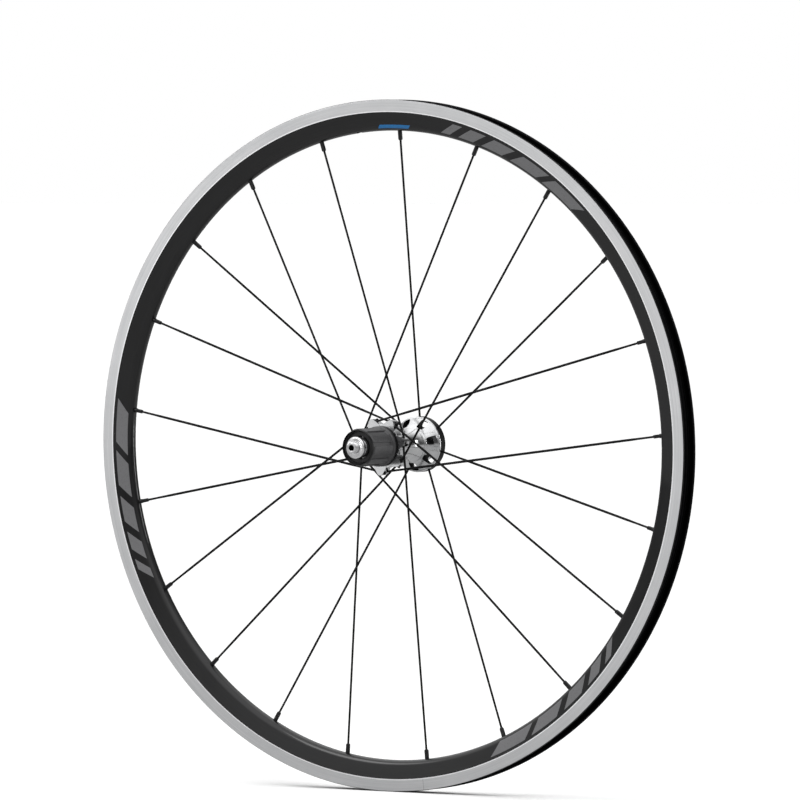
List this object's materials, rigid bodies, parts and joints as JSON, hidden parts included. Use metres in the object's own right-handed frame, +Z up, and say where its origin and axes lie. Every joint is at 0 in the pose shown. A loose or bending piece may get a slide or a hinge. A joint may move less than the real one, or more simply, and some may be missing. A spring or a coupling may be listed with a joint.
{
  "type": "road bicycle rear wheel",
  "caption": "Rear road wheel with a carbon-faced aluminium clincher rim, bladed black spokes, polished hub, bare freehub and hollow quick-release axle.",
  "frame": {"origin": "centre of the rim and of the hollow axle, midway between the locknut faces", "axes": "the axle lies along Y with the drive side and its freehub at -Y; +Z is up, +X is to the right seen from the drive side"},
  "size_m": [0.6339, 0.141, 0.634],
  "materials": {
    "rim_alloy": "machined satin brake tracks, black anodised tyre bed",
    "rim_carbon": "satin black carbon laminate with grey stripes",
    "spoke_black": "satin black",
    "nipple_black": "satin black anodised",
    "hub_alloy": "polished",
    "nut_alloy": "turned and polished",
    "bearing_steel": "ground",
    "ball_steel": "polished",
    "axle_steel": "turned",
    "dark_steel": "blackened",
    "spring_steel": "rolled",
    "freehub_grey": "hard anodised dark grey",
    "cap_plastic": "matte black",
    "seal_rubber": "matte black"
  },
  "bodies": {
    "axle": {"hollow_axle": "axle_steel", "drive_cone": "bearing_steel", "nondrive_cone": "bearing_steel", "drive_seal": "seal_rubber", "nondrive_seal": "seal_rubber", "drive_lock_washer": "dark_steel", "nondrive_lock_washer": "dark_steel", "nondrive_spacer": "hub_alloy", "drive_locknut": "nut_alloy", "nondrive_locknut": "nut_alloy"},
    "wheel": {"rim_hoop": "rim_alloy", "rim_fairing": "rim_carbon", "drive_spokes_trailing": "spoke_black", "drive_spokes_leading": "spoke_black", "nondrive_spokes": "spoke_black", "drive_nipples": "nipple_black", "nondrive_nipples": "nipple_black", "hub_shell": "hub_alloy", "nondrive_cup": "bearing_steel", "nondrive_dust_cap": "cap_plastic", "freehub_seal": "seal_rubber", "freehub_core": "dark_steel", "freehub_bolt": "dark_steel", "drive_cup": "bearing_steel", "drive_dust_cap": "cap_plastic", "freehub_balls_inner": "ball_steel", "freehub_balls_outer": "ball_steel", "pawl_spring_upper": "spring_steel", "pawl_spring_lower": "spring_steel"},
    "freehub": {"freehub_body": "freehub_grey"},
    "pawl_a": {"pawl_upper": "bearing_steel"},
    "pawl_b": {"pawl_lower": "bearing_steel"},
    "drive_ball_set": {"drive_balls": "ball_steel"},
    "nondrive_ball_set": {"nondrive_balls": "ball_steel"}
  },
  "joints": [
    {"name": "wheel_spin", "type": "hinge", "parent": "axle", "child": "wheel", "pos_m": [0, 0, 0], "axis": [0, 1, 0], "continuous": true},
    {"name": "freehub_spin", "type": "hinge", "parent": "wheel", "child": "freehub", "pos_m": [0, -0.04, 0], "axis": [0, 1, 0], "continuous": true},
    {"name": "drive_ball_orbit", "type": "hinge", "parent": "axle", "child": "drive_ball_set", "pos_m": [0, -0.051, 0], "axis": [0, 1, 0], "continuous": true},
    {"name": "nondrive_ball_orbit", "type": "hinge", "parent": "axle", "child": "nondrive_ball_set", "pos_m": [0, 0.046, 0], "axis": [0, 1, 0], "continuous": true},
    {"name": "pawl_upper_swing", "type": "hinge", "parent": "wheel", "child": "pawl_a", "pos_m": [0.0068, -0.0262, 0.0109], "axis": [0, -1, 0], "range_deg": [0, 14], "stiffness_Nm_per_rad": 0.02, "springref_deg": -11.46},
    {"name": "pawl_lower_swing", "type": "hinge", "parent": "wheel", "child": "pawl_b", "pos_m": [-0.0068, -0.0262, -0.0109], "axis": [0, -1, 0], "range_deg": [0, 14], "stiffness_Nm_per_rad": 0.02, "springref_deg": -11.46}
  ],
  "couplings": [
    {"joint": "drive_ball_orbit", "follows": "wheel_spin", "ratio": 0.62},
    {"joint": "nondrive_ball_orbit", "follows": "wheel_spin", "ratio": 0.62}
  ]
}
